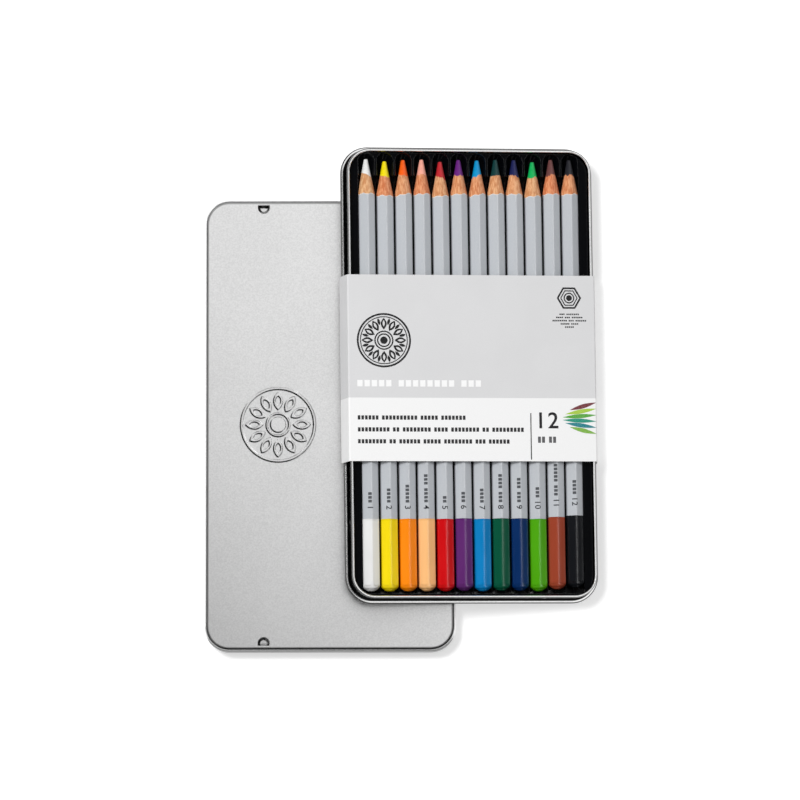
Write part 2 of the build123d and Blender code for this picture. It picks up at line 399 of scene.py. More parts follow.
def outline_depth(tree, where, node, axes, origin, corner_mm):
    """Millimetres in from a node's rounded outline, along the flat, for a point."""
    low, high = along_axes(node, axes, origin)
    half = [(high[axis] - low[axis]) / 2 / MM - corner_mm for axis in (0, 1)]
    middle = [(high[axis] + low[axis]) / 2 / MM for axis in (0, 1)]
    squares = []
    for axis in (0, 1):
        off = number_node(tree, "SUBTRACT", parts_of(tree, where)[axis], middle[axis])
        past = number_node(tree, "SUBTRACT", number_node(tree, "ABSOLUTE", off), half[axis])
        squares.append(number_node(tree, "POWER", number_node(tree, "MAXIMUM", past, 0.0), 2.0))
    radius = number_node(tree, "SQRT", number_node(tree, "ADD", *squares))
    return number_node(tree, "SUBTRACT", corner_mm, radius)


def facing(tree, direction, normal=None):
    """How far a face is turned to a direction of the frame, from -1 to 1."""
    source = tree.nodes.new("ShaderNodeTexCoord")
    node = tree.nodes.new("ShaderNodeVectorMath")
    node.operation = "DOT_PRODUCT"
    tree.links.new(normal or source.outputs["Normal"], node.inputs[0])
    node.inputs[1].default_value = direction
    return node.outputs["Value"]


def flatness(tree, up):
    """How far a face lies flat: 1 where it faces up or down, 0 where it is upright."""
    return number_node(tree, "ABSOLUTE", facing(tree, up))


def off_point(tree, where, point):
    """Millimetres along the flat from a point, for a place on the surface."""
    squares = []
    for axis in (0, 1):
        off = number_node(tree, "SUBTRACT", parts_of(tree, where)[axis], point[axis])
        squares.append(number_node(tree, "MULTIPLY", off, off))
    return number_node(tree, "SQRT", number_node(tree, "ADD", *squares))


def new_material(name, roughness=0.5, metallic=0.0, specular=0.5):
    """A material with its node tree and its shader."""
    material = bpy.data.materials.new(name)
    material.use_nodes = True
    tree = material.node_tree
    shader = tree.nodes["Principled BSDF"]
    shader.inputs["Roughness"].default_value = roughness
    shader.inputs["Metallic"].default_value = metallic
    shader.inputs["Specular IOR Level"].default_value = specular
    return material, tree, shader


# Materials: the lacquer's two tones and its chipped edge, and the wood's light, its dark and
# its flecks, the first two as pale tan and as orange brown
LACQUER_PALE = colour(189, 192, 196)
LACQUER_DEEP = colour(184, 188, 193)
LACQUER_EDGE = colour(228, 224, 218)
LACQUER_ROUGHNESS = 0.34
WOOD_LIGHT = (colour(232, 190, 142), colour(228, 148, 104))
WOOD_DARK = (colour(200, 144, 94), colour(198, 98, 54))
WOOD_FLECK = colour(158, 92, 54)
WOOD_ROUGHNESS = 0.78


def tinplate_material(name, place, smooth, rough, pressed, grain_mm, soften_mm=None):
    """Satin tinplate: a fine even grain, soft clouds, long scuffs and burnished slopes.

    Its clouds go from smooth to rough, and pressed is how rough its slopes are.
    """
    material, tree, shader = new_material(name, metallic=1.0)
    where = coordinates(tree, place)
    grain = noise(tree, where, 1.7, detail=4.0, roughness=0.75)
    clouds = noise(tree, where, 0.035)
    scuffed = coordinates(tree, place, stretch=(0.25, 7.0, 1.0))
    scuffs = noise(tree, scuffed, 1.1, roughness=0.4)
    tint = mixed(tree, stepped(tree, grain, *NOISE_SPAN), grey(218), grey(237))
    worn = stepped(tree, scuffs, 0.62, 0.75, 0.0, 0.03)
    dull = stepped(tree, clouds, *NOISE_SPAN, smooth, rough)
    dull = number_node(tree, "SUBTRACT", dull, worn)
    flat = flatness(tree, place.to_3x3().col[2])
    put(tree, shader.inputs["Roughness"], stepped(tree, flat, 0.88, 0.985, pressed, dull))
    softened = rounded(tree, soften_mm) if soften_mm else None
    put(tree, shader.inputs["Normal"], bumped(tree, grain, grain_mm, strength=0.6, normal=softened))
    return material, shader, where, tint, flat


def dress_lid():
    """The lid's tinplate, with painted shade along its bent edge and its fold, on the walls of its
    pressed pockets and on the rosette's slopes that face down and left, and a painted highlight on the
    rosette's slopes that face up and right.
    """
    axes = (Vector((1, 0, 0)), Vector((0, 1, 0)), Vector((0, 0, 1)))
    place = find_place("lid", axes, 0.5)
    material, shader, where, tint, flat = tinplate_material(
        "tinplate_lid", place, smooth=0.36, rough=0.38, pressed=0.2, grain_mm=0.016,
        soften_mm=PRESSED_EDGE_MM)
    tree = material.node_tree
    depth = outline_depth(tree, where, "lid", axes, place.translation, LID_CORNER_MM)
    inside = stepped(tree, depth, *BEND_END_MM)
    outside = number_node(tree, "SUBTRACT", 1.0, inside)
    steep = number_node(tree, "MULTIPLY", inside, stepped(tree, flat, 0.4, 0.95, 1.0, 0.0))
    from_rosette = off_point(tree, where, ROSETTE_MIDDLE_MM)
    fade_from, fade_to = [ROSETTE_RADIUS_MM + past for past in ROSETTE_FADE_MM]
    off_rosette = stepped(tree, from_rosette, fade_from, fade_to)
    on_rosette = number_node(tree, "SUBTRACT", 1.0, off_rosette)
    # Painted shade and painted highlight on the rosette: slopes that face down and left are coloured
    # dark, and slopes that face up and right near white.
    turned = facing(tree, (-0.71, -0.71, 0.0), rounded(tree, PRESSED_EDGE_MM))
    shaded_slopes = number_node(tree, "MULTIPLY", on_rosette, stepped(tree, turned, 0.05, 0.3))
    highlit_slopes = stepped(tree, turned, -0.5, -0.12, 1.0, 0.0)
    highlit_slopes = number_node(tree, "MULTIPLY", on_rosette, highlit_slopes)
    right_and_down = stepped(tree, facing(tree, (0.89, -0.45, 0.0)), -0.05, 0.2)
    # Painted shade: near black on the walls of the pressed pockets, off the rosette, that face right
    # and down.
    painted_shade_mask = number_node(tree, "MULTIPLY", off_rosette, steep)
    painted_shade_mask = number_node(tree, "MULTIPLY", painted_shade_mask, right_and_down)

    # Painted shade on the bent edge: an even pale grey, and dark grey where it faces -Y.
    bent = number_node(tree, "MULTIPLY", outside, stepped(tree, flat, 0.55, 0.85, 1.0, 0.0))
    low_side = stepped(tree, facing(tree, (0.0, -1.0, 0.0)), 0.2, 0.6)
    tint = mixed(tree, bent, tint, mixed(tree, low_side, grey(225), grey(100)))
    # Painted shade along the fold line inside the bent edge: mid grey, and near black where it faces
    # right and down.
    past_start = stepped(tree, depth, *FOLD_START_MM)
    before_end = stepped(tree, depth, *FOLD_END_MM, 1.0, 0.0)
    fold = number_node(tree, "MULTIPLY", past_start, before_end)
    low_right = facing(tree, (0.71, -0.71, 0.0), rounded(tree, FOLD_EDGE_MM))
    fold_shade = mixed(tree, stepped(tree, low_right, 0.02, 0.14), grey(166), grey(50))
    tint = mixed(tree, fold, tint, fold_shade)
    tint = mixed(tree, highlit_slopes, tint, grey(252))
    tint = mixed(tree, shaded_slopes, tint, grey(40))
    put(tree, shader.inputs["Base Color"], mixed(tree, painted_shade_mask, tint, grey(30)))
    dress("lid", material)


def dress_base():
    """The base's tinplate, with painted shade at the outer edge of its step, on the step's bent sides,
    on the outer side of its rim and on its wall below the rim, darkest at the wall's foot.
    """
    origin = BASE_PLACE.translation
    material, shader, where, tint, flat = tinplate_material(
        "tinplate_base", BASE_PLACE, smooth=0.15, rough=0.18, pressed=0.15, grain_mm=0.003)
    tree = material.node_tree
    depth = outline_depth(tree, where, "base_tin", BASE_AXES, origin, BASE_CORNER_MM)
    height = parts_of(tree, where)[2]
    low, high = along_axes("base_tin", BASE_AXES, origin)
    rim_mm = (high[2] - low[2]) / MM
    clear_from, clear_to = [rim_mm + below for below in BELOW_RIM_MM]
    # Painted shade on the wall below the rim: near black at its foot, lightening to mid grey higher up.
    inside = stepped(tree, depth, *STEP_BEND_END_MM)
    below_rim = stepped(tree, height, clear_from, clear_to, 1.0, 0.0)
    painted_shade_mask = number_node(tree, "MULTIPLY", inside, below_rim)
    painted_wall_shade = mixed(tree, stepped(tree, height, *SHADE_CLEARS_MM), grey(24), grey(128))
    # Painted shade: the step's bent sides are coloured mid grey.
    bent = number_node(tree, "SUBTRACT", 1.0, inside)
    bent = number_node(tree, "MULTIPLY", bent, stepped(tree, flat, 0.3, 0.6, 1.0, 0.0))
    tint = mixed(tree, bent, tint, grey(150))
    # Painted shade: dark grey at the step's outer edge, and grey on the outer side of the rim.
    step_edge = stepped(tree, depth, *STEP_EDGE_MM, 1.0, 0.0)
    rim_side = stepped(tree, depth, RIM_MIDDLE_MM - RIM_SIDE_MM, RIM_MIDDLE_MM, 1.0, 0.0)
    rim_side = number_node(tree, "MULTIPLY", rim_side, inside)
    tint = mixed(tree, step_edge, tint, grey(100))
    tint = mixed(tree, rim_side, tint, grey(124))
    put(tree, shader.inputs["Base Color"], mixed(tree, painted_shade_mask, tint, painted_wall_shade))
    dress("base_tin", material)


def film_material():
    """Black thermoformed film: glossy, with a faint ripple and fine dust."""
    material, tree, shader = new_material("black_film", specular=0.6)
    where = coordinates(tree, BASE_PLACE)
    ripple = noise(tree, where, 0.35)
    dust = noise(tree, where, 5.0, roughness=0.7)
    dusty = stepped(tree, dust, 0.68, 0.78)
    put(tree, shader.inputs["Base Color"], mixed(tree, dusty, colour(5, 6, 9), colour(26, 28, 32)))
    put(tree, shader.inputs["Roughness"], stepped(tree, dust, 0.5, 0.8, 0.17, 0.4))
    normal = bumped(tree, ripple, depth_mm=0.05, strength=0.5, normal=rounded(tree, FILM_EDGE_MM))
    put(tree, shader.inputs["Normal"], normal)
    return material


def sleeve_material():
    """Coated card, printed grey above a white band, with bare white at its cut edges."""
    material, tree, shader = new_material("printed_card", roughness=0.42, specular=0.4)
    low, high = along_axes("card_sleeve", BASE_AXES, BASE_PLACE.translation)
    half_length = (high[1] - low[1]) / 2 / MM
    middle = (high[1] + low[1]) / 2 / MM
    where = coordinates(tree, BASE_PLACE)
    along = parts_of(tree, where)[1]
    fibre = noise(tree, where, 2.4, detail=4.0, roughness=0.7)
    clouds = noise(tree, where, 0.06)
    cloudy = stepped(tree, clouds, *NOISE_SPAN)
    shaded = mixed(tree, cloudy, colour(219, 219, 220), colour(222, 222, 223))
    fibrous = stepped(tree, fibre, *NOISE_SPAN, 0.0, 0.5)
    shaded = mixed(tree, fibrous, shaded, colour(215, 215, 216))
    white = mixed(tree, stepped(tree, fibre, *NOISE_SPAN), grey(244), grey(247))
    above_band = stepped(tree, along, BAND_EDGE - BAND_BLUR, BAND_EDGE + BAND_BLUR)
    printed = mixed(tree, above_band, white, shaded)
    from_middle = number_node(tree, "ABSOLUTE", number_node(tree, "SUBTRACT", along, middle))
    cut = stepped(tree, from_middle, *[half_length - off_end for off_end in CUT_EDGE])
    put(tree, shader.inputs["Base Color"], mixed(tree, cut, printed, colour(238, 236, 231)))
    put(tree, shader.inputs["Roughness"], stepped(tree, fibre, *NOISE_SPAN, 0.38, 0.48))
    put(tree, shader.inputs["Normal"], bumped(tree, fibre, depth_mm=0.01, strength=0.35))
    return material


def spread_noise(tree, place, seed, along_stretch, scale):
    """Noise that changes round a pencil and little along it, different for each seed."""
    shifted = place.copy()
    shifted.translation += BASE_AXES[1] * seed * NOISE_SHIFT
    where = coordinates(tree, shifted, stretch=(1, along_stretch, 1))
    return noise(tree, where, scale, detail=3.0, roughness=0.6)


def edge_along(tree, where, tip_mm, radius_mm, slant_mm, ragged):
    """How far a point lies past the line where the sharpener's cone has a radius."""
    across, along, _ = parts_of(tree, where)
    line = tip_mm - (radius_mm - POINT_RADIUS_MM) / SHARPENING_SLOPE
    slanted = number_node(tree, "MULTIPLY", across, slant_mm / (2 * radius_mm))
    past = number_node(tree, "SUBTRACT", number_node(tree, "SUBTRACT", along, line), slanted)
    return number_node(tree, "ADD", past, ragged)


def scallops(tree, where):
    """A wave round the pencil that rises at each corner of the hexagon."""
    across, _, up = parts_of(tree, where)
    angle = number_node(tree, "ARCTAN2", up, across)
    wave = number_node(tree, "COSINE", number_node(tree, "MULTIPLY", angle, 6.0))
    return number_node(tree, "MULTIPLY", wave, -SCALLOP_MM)


def sharpened_colour(tree, name, number, place, tip_mm):
    """Lacquer, bare wood and core along a sharpened pencil, and where it is lacquered."""
    _, core_tint, tone, lacquer_slant, core_slant = PENCILS[name]
    where = coordinates(tree, place)
    chips = spread_noise(tree, place, number, along_stretch=1.0, scale=1.3)
    chips = number_node(tree, "MULTIPLY", chips, CHIPS_MM)
    ragged = number_node(tree, "ADD", scallops(tree, where), chips)
    past_lacquer = edge_along(tree, where, tip_mm, LACQUER_RADIUS_MM, lacquer_slant, ragged)
    fringe = spread_noise(tree, place, number + FRINGE_SEED, along_stretch=4.0, scale=0.75)
    fringe = number_node(tree, "MULTIPLY", fringe, FRINGE_MM)
    fringe = number_node(tree, "SUBTRACT", fringe, FRINGE_MM / 2)
    past_core = edge_along(tree, where, tip_mm, CORE_RADIUS_MM, core_slant, fringe)

    grain = spread_noise(tree, place, number + GRAIN_SEED, along_stretch=9.0, scale=1.7)
    fleck = spread_noise(tree, place, number + FLECK_SEED, along_stretch=2.5, scale=4.5)
    light = mixed(tree, tone, *WOOD_LIGHT)
    dark = mixed(tree, tone, *WOOD_DARK)
    wood = mixed(tree, stepped(tree, grain, 0.36, 0.64), dark, light)
    wood = mixed(tree, stepped(tree, fleck, 0.56, 0.7, 0.0, 0.4), wood, WOOD_FLECK)
    wax = noise(tree, where, 1.4, detail=4.0, roughness=0.65)
    core = colour(*core_tint)
    waxed = mixed(tree, stepped(tree, wax, *NOISE_SPAN), deepened(core, 0.82), core)
    speck = noise(tree, where, 1.6, detail=3.0, roughness=0.6)
    lacquer = mixed(tree, stepped(tree, speck, *NOISE_SPAN), LACQUER_DEEP, LACQUER_PALE)
    rim = stepped(tree, past_lacquer, -0.3, -0.1)
    lacquer = mixed(tree, rim, lacquer, LACQUER_EDGE)

    bare = mixed(tree, stepped(tree, past_core, -0.12, 0.12), wood, waxed)
    coated = stepped(tree, past_lacquer, -0.06, 0.06, 1.0, 0.0)
    return mixed(tree, coated, bare, lacquer), coated, grain, wax


def casing_material(name, number, place, tip_mm):
    """Grey lacquer on the barrel, and bare wood where the sharpener has cut a cone."""
    material, tree, shader = new_material(f"casing_{name}")
    tint, coated, grain, _ = sharpened_colour(tree, name, number, place, tip_mm)
    put(tree, shader.inputs["Base Color"], tint)
    rough = stepped(tree, coated, 0.0, 1.0, WOOD_ROUGHNESS, LACQUER_ROUGHNESS)
    put(tree, shader.inputs["Roughness"], rough)
    plain = tree.nodes.new("ShaderNodeNewGeometry").outputs["Normal"]
    softened = mixed(tree, coated, plain, rounded(tree, BARREL_EDGE_MM))
    normal = bumped(tree, grain, depth_mm=0.03, strength=0.3, normal=softened)
    put(tree, shader.inputs["Normal"], normal)
    return material


def core_material(name, number, place, tip_mm):
    """A waxy coloured core, with a skin of wood left unevenly where the cone meets it."""
    material, tree, shader = new_material(f"core_{name}", specular=0.35)
    tint, _, _, wax = sharpened_colour(tree, name, number, place, tip_mm)
    put(tree, shader.inputs["Base Color"], tint)
    put(tree, shader.inputs["Roughness"], stepped(tree, wax, *NOISE_SPAN, 0.5, 0.7))
    put(tree, shader.inputs["Normal"], bumped(tree, wax, depth_mm=0.04, strength=0.4))
    return material


def dip_material(name, number, place):
    """A thick coat of glossy lacquer, a little deeper where it pooled."""
    tint = colour(*PENCILS[name][0])
    material, tree, shader = new_material(f"dip_{name}", roughness=0.16)
    shifted = place.copy()
    shifted.translation += BASE_AXES[1] * number * DIP_SHIFT
    pooled = noise(tree, coordinates(tree, shifted, stretch=(1, 4, 1)), 0.25, detail=1.0)
    tinted = mixed(tree, stepped(tree, pooled, *NOISE_SPAN), deepened(tint, 0.93), tint)
    put(tree, shader.inputs["Base Color"], tinted)
    put(tree, shader.inputs["Roughness"], stepped(tree, pooled, *NOISE_SPAN, 0.2, 0.26))
    normal = bumped(tree, pooled, depth_mm=0.02, strength=0.2, normal=rounded(tree, DIP_EDGE_MM))
    put(tree, shader.inputs["Normal"], normal)
    return material


def ink_material(name, tint, speckle=0.1):
    """Printing ink on a coated surface, a little thin here and there."""
    material, tree, shader = new_material(f"ink_{name}", roughness=0.4, specular=0.4)
    where = coordinates(tree, BASE_PLACE)
    thin = noise(tree, where, 4.0, detail=3.0, roughness=0.7)
    ink = colour(*tint)
    pale = [part + (1 - part) * speckle for part in ink[:3]] + [1.0]
    put(tree, shader.inputs["Base Color"], mixed(tree, stepped(tree, thin, 0.45, 0.8), ink, pale))
    put(tree, shader.inputs["Roughness"], stepped(tree, thin, *NOISE_SPAN, 0.36, 0.46))
    return material


def dress(node, material):
    """Gives a CAD node its finish."""
    slots = frame["nodes"][node].material_slots
    for slot in slots:
        slot.material = material
    if not slots:
        frame["nodes"][node].data.materials.append(material)


def dress_tin():
    """The finish of the tin, its tray and its sleeve."""
    dress_lid()
    dress_base()
    dress("pencil_tray", film_material())
    dress("card_sleeve", sleeve_material())


def dress_pencils():
    """The finish of each pencil's three pieces."""
    for number, name in enumerate(PENCILS):
        place = pencil_place(name)
        _, high = along_axes(f"pencil_{name}_core", BASE_AXES, place.translation)
        tip_mm = high[1] / MM
        dress(f"pencil_{name}_casing", casing_material(name, number, place, tip_mm))
        dress(f"pencil_{name}_core", core_material(name, number, place, tip_mm))
        dress(f"pencil_{name}_dipped_end", dip_material(name, number, place))


# Prints
def barrel_wrap(mesh, across_flats_mm):
    """Bends a flat print, drawn along X, over the ridge between two of a barrel's flats."""
    half_turn = math.pi / 6
    arc = BARREL_RADIUS_MM * half_turn
    cuts = [arc * share for share in (-1.0, -0.5, 0.0, 0.5, 1.0)]
    shape = bmesh.new()
    shape.from_mesh(mesh)
    for cut in cuts:
        pieces = shape.verts[:] + shape.edges[:] + shape.faces[:]
        bmesh.ops.bisect_plane(shape, geom=pieces, plane_co=(0, cut, 0), plane_no=(0, 1, 0))
    middle = (across_flats_mm / 2 - BARREL_RADIUS_MM) / math.cos(half_turn)
    for vertex in shape.verts:
        along, across, out = vertex.co
        angle = max(-half_turn, min(half_turn, across / BARREL_RADIUS_MM))
        radius = BARREL_RADIUS_MM + out
        past = across - angle * BARREL_RADIUS_MM
        side = radius * math.sin(angle) + past * math.cos(angle)
        height = middle + radius * math.cos(angle) - past * math.sin(angle)
        vertex.co = (along, side, height)
    shape.to_mesh(mesh)
    shape.free()


def curve_to_piece(data, name, place, material, body, across_flats_mm=None):
    """Turns a flat curve, drawn in millimetres, into a thin mesh that lies on a surface."""
    data.dimensions = "2D"
    data.fill_mode = "BOTH"
    data.extrude = PRINT_THICKNESS / 2
    source = bpy.data.objects.new(name + "_outline", data)
    bpy.context.scene.collection.objects.link(source)
    bpy.context.view_layer.update()
    mesh = bpy.data.meshes.new_from_object(source)
    bpy.data.objects.remove(source)
    mesh.name = name
    mesh.materials.clear()
    mesh.materials.append(material)
    if across_flats_mm:
        barrel_wrap(mesh, across_flats_mm)
    mesh.transform(place @ Matrix.Scale(MM, 4))
    piece = bpy.data.objects.new(name, mesh)
    bpy.context.scene.collection.objects.link(piece)
    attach(piece, body)


def print_shapes(name, outlines, place, material, body="sleeve", barrel=None):
    """Prints closed outlines, where one outline inside another makes a hole."""
    data = bpy.data.curves.new(name, "CURVE")
    for outline in outlines:
        spline = data.splines.new("POLY")
        spline.points.add(len(outline) - 1)
        for point, (across, along) in zip(spline.points, outline):
            point.co = (across, along, 0, 1)
        spline.use_cyclic_u = True
    curve_to_piece(data, name, place, material, body, barrel)


def print_number(name, text, size, thicker, place, material, body="sleeve",
                 side=0.0, barrel=None):
    """Prints a number whose digits are centred on a line to one side of the place's X axis."""
    data = bpy.data.curves.new(name, "FONT")
    data.body = text
    data.size = size
    data.offset = thicker
    data.offset_y = side
    data.space_character = DIGIT_SPACING
    data.align_y = "CENTER"
    curve_to_piece(data, name, place, material, body, barrel)


def rectangle(left, right, low, high):
    """A rectangle's four corners."""
    return [(left, low), (right, low), (right, high), (left, high)]


def arc_points(middle, radius, start, end, steps):
    """Points on an arc, its angles in degrees."""
    points = []
    for step in range(steps + 1):
        angle = math.radians(start + (end - start) * step / steps)
        points.append((middle[0] + radius * math.cos(angle), middle[1] + radius * math.sin(angle)))
    return points


def circle(middle, radius, steps):
    """A circle's outline with so many sides, where six make a hexagon."""
    return arc_points(middle, radius, 0, 360, steps)[:-1]


def ring(middle, radius, width, steps=72):
    """A ring's outer and inner outline."""
    return [circle(middle, radius, steps), circle(middle, radius - width, steps)]


def petal(middle, turn, start, length, width, steps=10):
    """A pointed petal that starts some way out from the middle."""
    points = []
    for side in (1, -1):
        for step in range(steps):
            share = step / steps if side == 1 else 1 - step / steps
            points.append((start + length * share, side * width / 2 * math.sin(math.pi * share)))
    angle = math.radians(turn)
    turned = []
    for out, across in points:
        turned.append((
            middle[0] + out * math.cos(angle) - across * math.sin(angle),
            middle[1] + out * math.sin(angle) + across * math.cos(angle)))
    return turned


def sleeve_top_place():
    """The sleeve's top panel, in millimetres from the middle of the base."""
    _, high = along_axes("card_sleeve", BASE_AXES, BASE_PLACE.translation)
    place = BASE_PLACE.copy()
    place.translation += BASE_AXES[2] * (high[2] + PRINT_THICKNESS * MM * PRINT_LIFT)
    return place


def print_rosette(place, ink):
    """A plain flower of petals in a ring, where the card's main print goes."""
    middle = ROSETTE_PRINT_MIDDLE
    between = 360 / ROSETTE_PETALS
    outlines = []
    for radius, width in ROSETTE_OUTER_RINGS:
        outlines += ring(middle, radius, width)
    for number in range(ROSETTE_PETALS):
        turn = number * between
        outlines.append(petal(middle, turn, *PETAL_OUTLINE))
        outlines.append(petal(middle, turn, *PETAL_HOLE))
        outlines.append(petal(middle, turn + between / 2, *PETAL_BETWEEN))
    for radius, width in ROSETTE_INNER_RINGS:
        outlines += ring(middle, radius, width)
    outlines.append(circle(middle, ROSETTE_DOT, 36))
    print_shapes("sleeve_rosette_print", outlines, place, ink)


def row_width(width, words):
    """How far a row of blocks reaches, with a block's width between its words."""
    return width * (LETTER_PITCH * sum(words) + len(words) - LETTER_PITCH)


def print_words(name, rows, place, ink, body="sleeve", barrel=None):
    """Rows of plain blocks, grouped as words are, in place of printed text."""
    outlines = []
    for left, along, width, height, words in rows:
        for letters in words:
            for _ in range(letters):
                outlines.append(rectangle(left, left + width, along, along + height))
                left += width * LETTER_PITCH
            left += width
    print_shapes(name, outlines, place, ink, body, barrel)


def print_hexagon(place, ink):
    """A pencil seen end on: a hexagon round its core."""
    outlines = [circle(HEXAGON_MIDDLE, radius, 6) for radius in HEXAGON_RADII]
    outlines += ring(HEXAGON_MIDDLE, *HEXAGON_RING, 36)
    outlines.append(circle(HEXAGON_MIDDLE, HEXAGON_DOT, 24))
    print_shapes("sleeve_hexagon_print", outlines, place, ink)


def print_strokes(place):
    """Tapered pencil strokes, fanned out at the white band's right end."""
    for number, (name, tint) in enumerate(STROKE_INKS.items()):
        end = (STROKE_END[0], STROKE_END[1] - number * STROKE_PITCH)
        share = (number + 0.5) / len(STROKE_INKS)
        length = STROKE_LENGTH + STROKE_LONGER * math.sin(math.pi * share)
        stroke = petal(end, STROKE_TURN - number * STROKE_FAN, 0.0, length, STROKE_WIDTH, steps=14)
        ink = ink_material(name, tint, speckle=0.35)
        print_shapes(f"sleeve_stroke_{name}", [stroke], place, ink)


def print_sleeve():
    """All that is printed on the sleeve's top panel."""
    place = sleeve_top_place()
    dark = ink_material("dark_grey", (34, 34, 36))
    text = ink_material("text_grey", (46, 46, 48))
    thin = ink_material("thin_grey", (96, 96, 98))
    white = ink_material("white", (250, 250, 250), speckle=0.0)
    print_rosette(place, dark)
    print_hexagon(place, dark)
    mark_rows = []
    for number, words in enumerate(MARK_WORDS):
        left = HEXAGON_MIDDLE[0] - row_width(MARK_BLOCK[0], words) / 2
        mark_rows.append((left, MARK_TOP - number * MARK_PITCH, *MARK_BLOCK, words))
    print_words("sleeve_mark_blocks", mark_rows, place, dark)
    print_words("sleeve_title_blocks", TITLE_ROWS, place, white)
    print_words("sleeve_text_blocks", TEXT_ROWS, place, text)
    print_shapes("sleeve_divider", [rectangle(*DIVIDER)], place, text)
    where = place @ Matrix.Translation((COUNT_SPOT[0] * MM, COUNT_SPOT[1] * MM, 0))
    count = str(len(PENCILS))
    print_number("sleeve_number_12", count, COUNT_SIZE, COUNT_THICKER, where, dark)
    print_words("sleeve_number_blocks", COUNT_ROWS, place, thin)
    print_strokes(place)


def print_barrels():
    """A row of blocks and a number along the ridge of each barrel, where names go."""
    ink = ink_material("barrel", (36, 38, 42))
    pale_ink = ink_material("barrel_pale", (78, 80, 84))
    for number, name in enumerate(PENCILS):
        place = pencil_place(name)
        low, high = along_axes(f"pencil_{name}_casing", BASE_AXES, place.translation)
        across_flats_mm = (high[0] - low[0]) / MM
        lift = PRINT_THICKNESS * MM * PRINT_LIFT
        text = str(number + 1)
        spot = Vector((0.0, (BARREL_PRINT_END_MM + DIGIT_MM * len(text)) * MM, lift))
        where = place @ Matrix.Translation(spot) @ Matrix.Rotation(-math.pi / 2, 4, "Z")
        body = f"pencil_{name}"
        print_number(f"{body}_number", text, BARREL_DIGIT_SIZE, BARREL_THICKER, where, ink,
                     body, BARREL_PRINT_SIDE_MM, across_flats_mm)
        words = BARREL_WORDS[number]
        start = -BARREL_BLOCK_GAP_MM - row_width(BARREL_BLOCK_MM, words)
        low_edge = BARREL_PRINT_SIDE_MM - BARREL_BLOCK_HEIGHT_MM / 2
        rows = [(start, low_edge, BARREL_BLOCK_MM, BARREL_BLOCK_HEIGHT_MM, words)]
        print_words(f"{body}_blocks", rows, where, pale_ink, body, across_flats_mm)


# Stage
def camera_rays(tree):
    """1 where the camera, a reflection or clear material looks at the background."""
    path = tree.nodes.new("ShaderNodeLightPath")
    seen = number_node(tree, "MAXIMUM", path.outputs["Is Camera Ray"], path.outputs["Is Glossy Ray"])
    return number_node(tree, "MAXIMUM", seen, path.outputs["Is Transmission Ray"]), path


def make_world():
    """White where it is seen, darker above the horizon in reflections, and an even light."""
    world = bpy.data.worlds.new("studio")
    bpy.context.scene.world = world
    world.use_nodes = True
    tree = world.node_tree
    background = tree.nodes["Background"]
    background.inputs["Color"].default_value = (1, 1, 1, 1)
    seen, path = camera_rays(tree)
    source = tree.nodes.new("ShaderNodeTexCoord")
    height = parts_of(tree, source.outputs["Generated"])[2]
    mirrored = stepped(tree, height, LOW_WALL, LOW_WALL + LOW_WALL_FADE, 1.0, STUDIO_DARK)
    looked_at = number_node(tree, "MAXIMUM", mirrored, path.outputs["Is Camera Ray"])
    dimmed = number_node(tree, "MULTIPLY", looked_at, seen)
    spare = number_node(tree, "SUBTRACT", 1.0, seen)
    level = number_node(tree, "ADD", dimmed, number_node(tree, "MULTIPLY", spare, WORLD_LEVEL))
    tree.links.new(level, background.inputs["Strength"])


def make_floor():
    """A wide pale floor that keeps the shadow and looks white."""
    mesh = bpy.data.meshes.new("floor")
    reach = FLOOR_REACH
    corners = [(-reach, -reach, 0), (reach, -reach, 0), (reach, reach, 0), (-reach, reach, 0)]
    mesh.from_pydata(corners, [], [(0, 1, 2, 3)])
    floor = bpy.data.objects.new("floor", mesh)
    bpy.context.scene.collection.objects.link(floor)
    material, tree, shader = new_material("floor_paper", roughness=0.9, specular=0.0)
    where = tree.nodes.new("ShaderNodeTexCoord").outputs["Object"]
    mottle = noise(tree, where, 40.0)
    paper, paler = [(level, level, level, 1.0) for level in (FLOOR_ALBEDO, FLOOR_ALBEDO + FLOOR_MOTTLE)]
    put(tree, shader.inputs["Base Color"], mixed(tree, mottle, paper, paler))
    seen, _ = camera_rays(tree)
    shader.inputs["Emission Color"].default_value = (1, 1, 1, 1)
    put(tree, shader.inputs["Emission Strength"], number_node(tree, "MULTIPLY", seen, FLOOR_GLOW))
    mesh.materials.append(material)


def receivers(name, nodes):
    """A collection of the nodes that one lamp lights."""
    collection = bpy.data.collections.new(name)
    for node in nodes:
        collection.objects.link(frame["nodes"][node])
    return collection


def area_lamp(name, spot, aim, size, power, turn=0.0):
    """A lamp that points from a spot at an aim, turned about that line."""
    data = bpy.data.lights.new(name, "AREA")
    data.shape = "RECTANGLE"
    data.size, data.size_y = size
    data.energy = power
    lamp = bpy.data.objects.new(name, data)
    lamp.location = spot
    aimed = (Vector(aim) - Vector(spot)).to_track_quat("-Z", "Y")
    lamp.rotation_euler = (aimed.to_matrix() @ Matrix.Rotation(turn, 3, "Z")).to_euler()
    lamp.visible_camera = False
    bpy.context.scene.collection.objects.link(lamp)
    return lamp


def reflected_lamp(name, spot, aim, size, level, nodes, turn=0.0):
    """A softbox of an even level, which only shows as a reflection on some nodes."""
    lamp = area_lamp(name, spot, aim, size, level * math.pi * size[0] * size[1], turn)
    lamp.visible_diffuse = False
    lamp.light_linking.receiver_collection = receivers(name + "_receivers", nodes)


def lid_walls():
    """The pale walls round the lid, as softboxes."""
    walls = {}
    for number in range(LID_WALLS):
        turn = 2 * math.pi * number / LID_WALLS
        spot = (LID_WALL_REACH * math.cos(turn), LID_WALL_REACH * math.sin(turn), LID_WALL_HEIGHT)
        walls[f"lid_wall_{number + 1}"] = ("lid", spot, LID_AIM, LID_WALL_SIZE, LID_WALL_LEVEL, 0.0)
    return walls


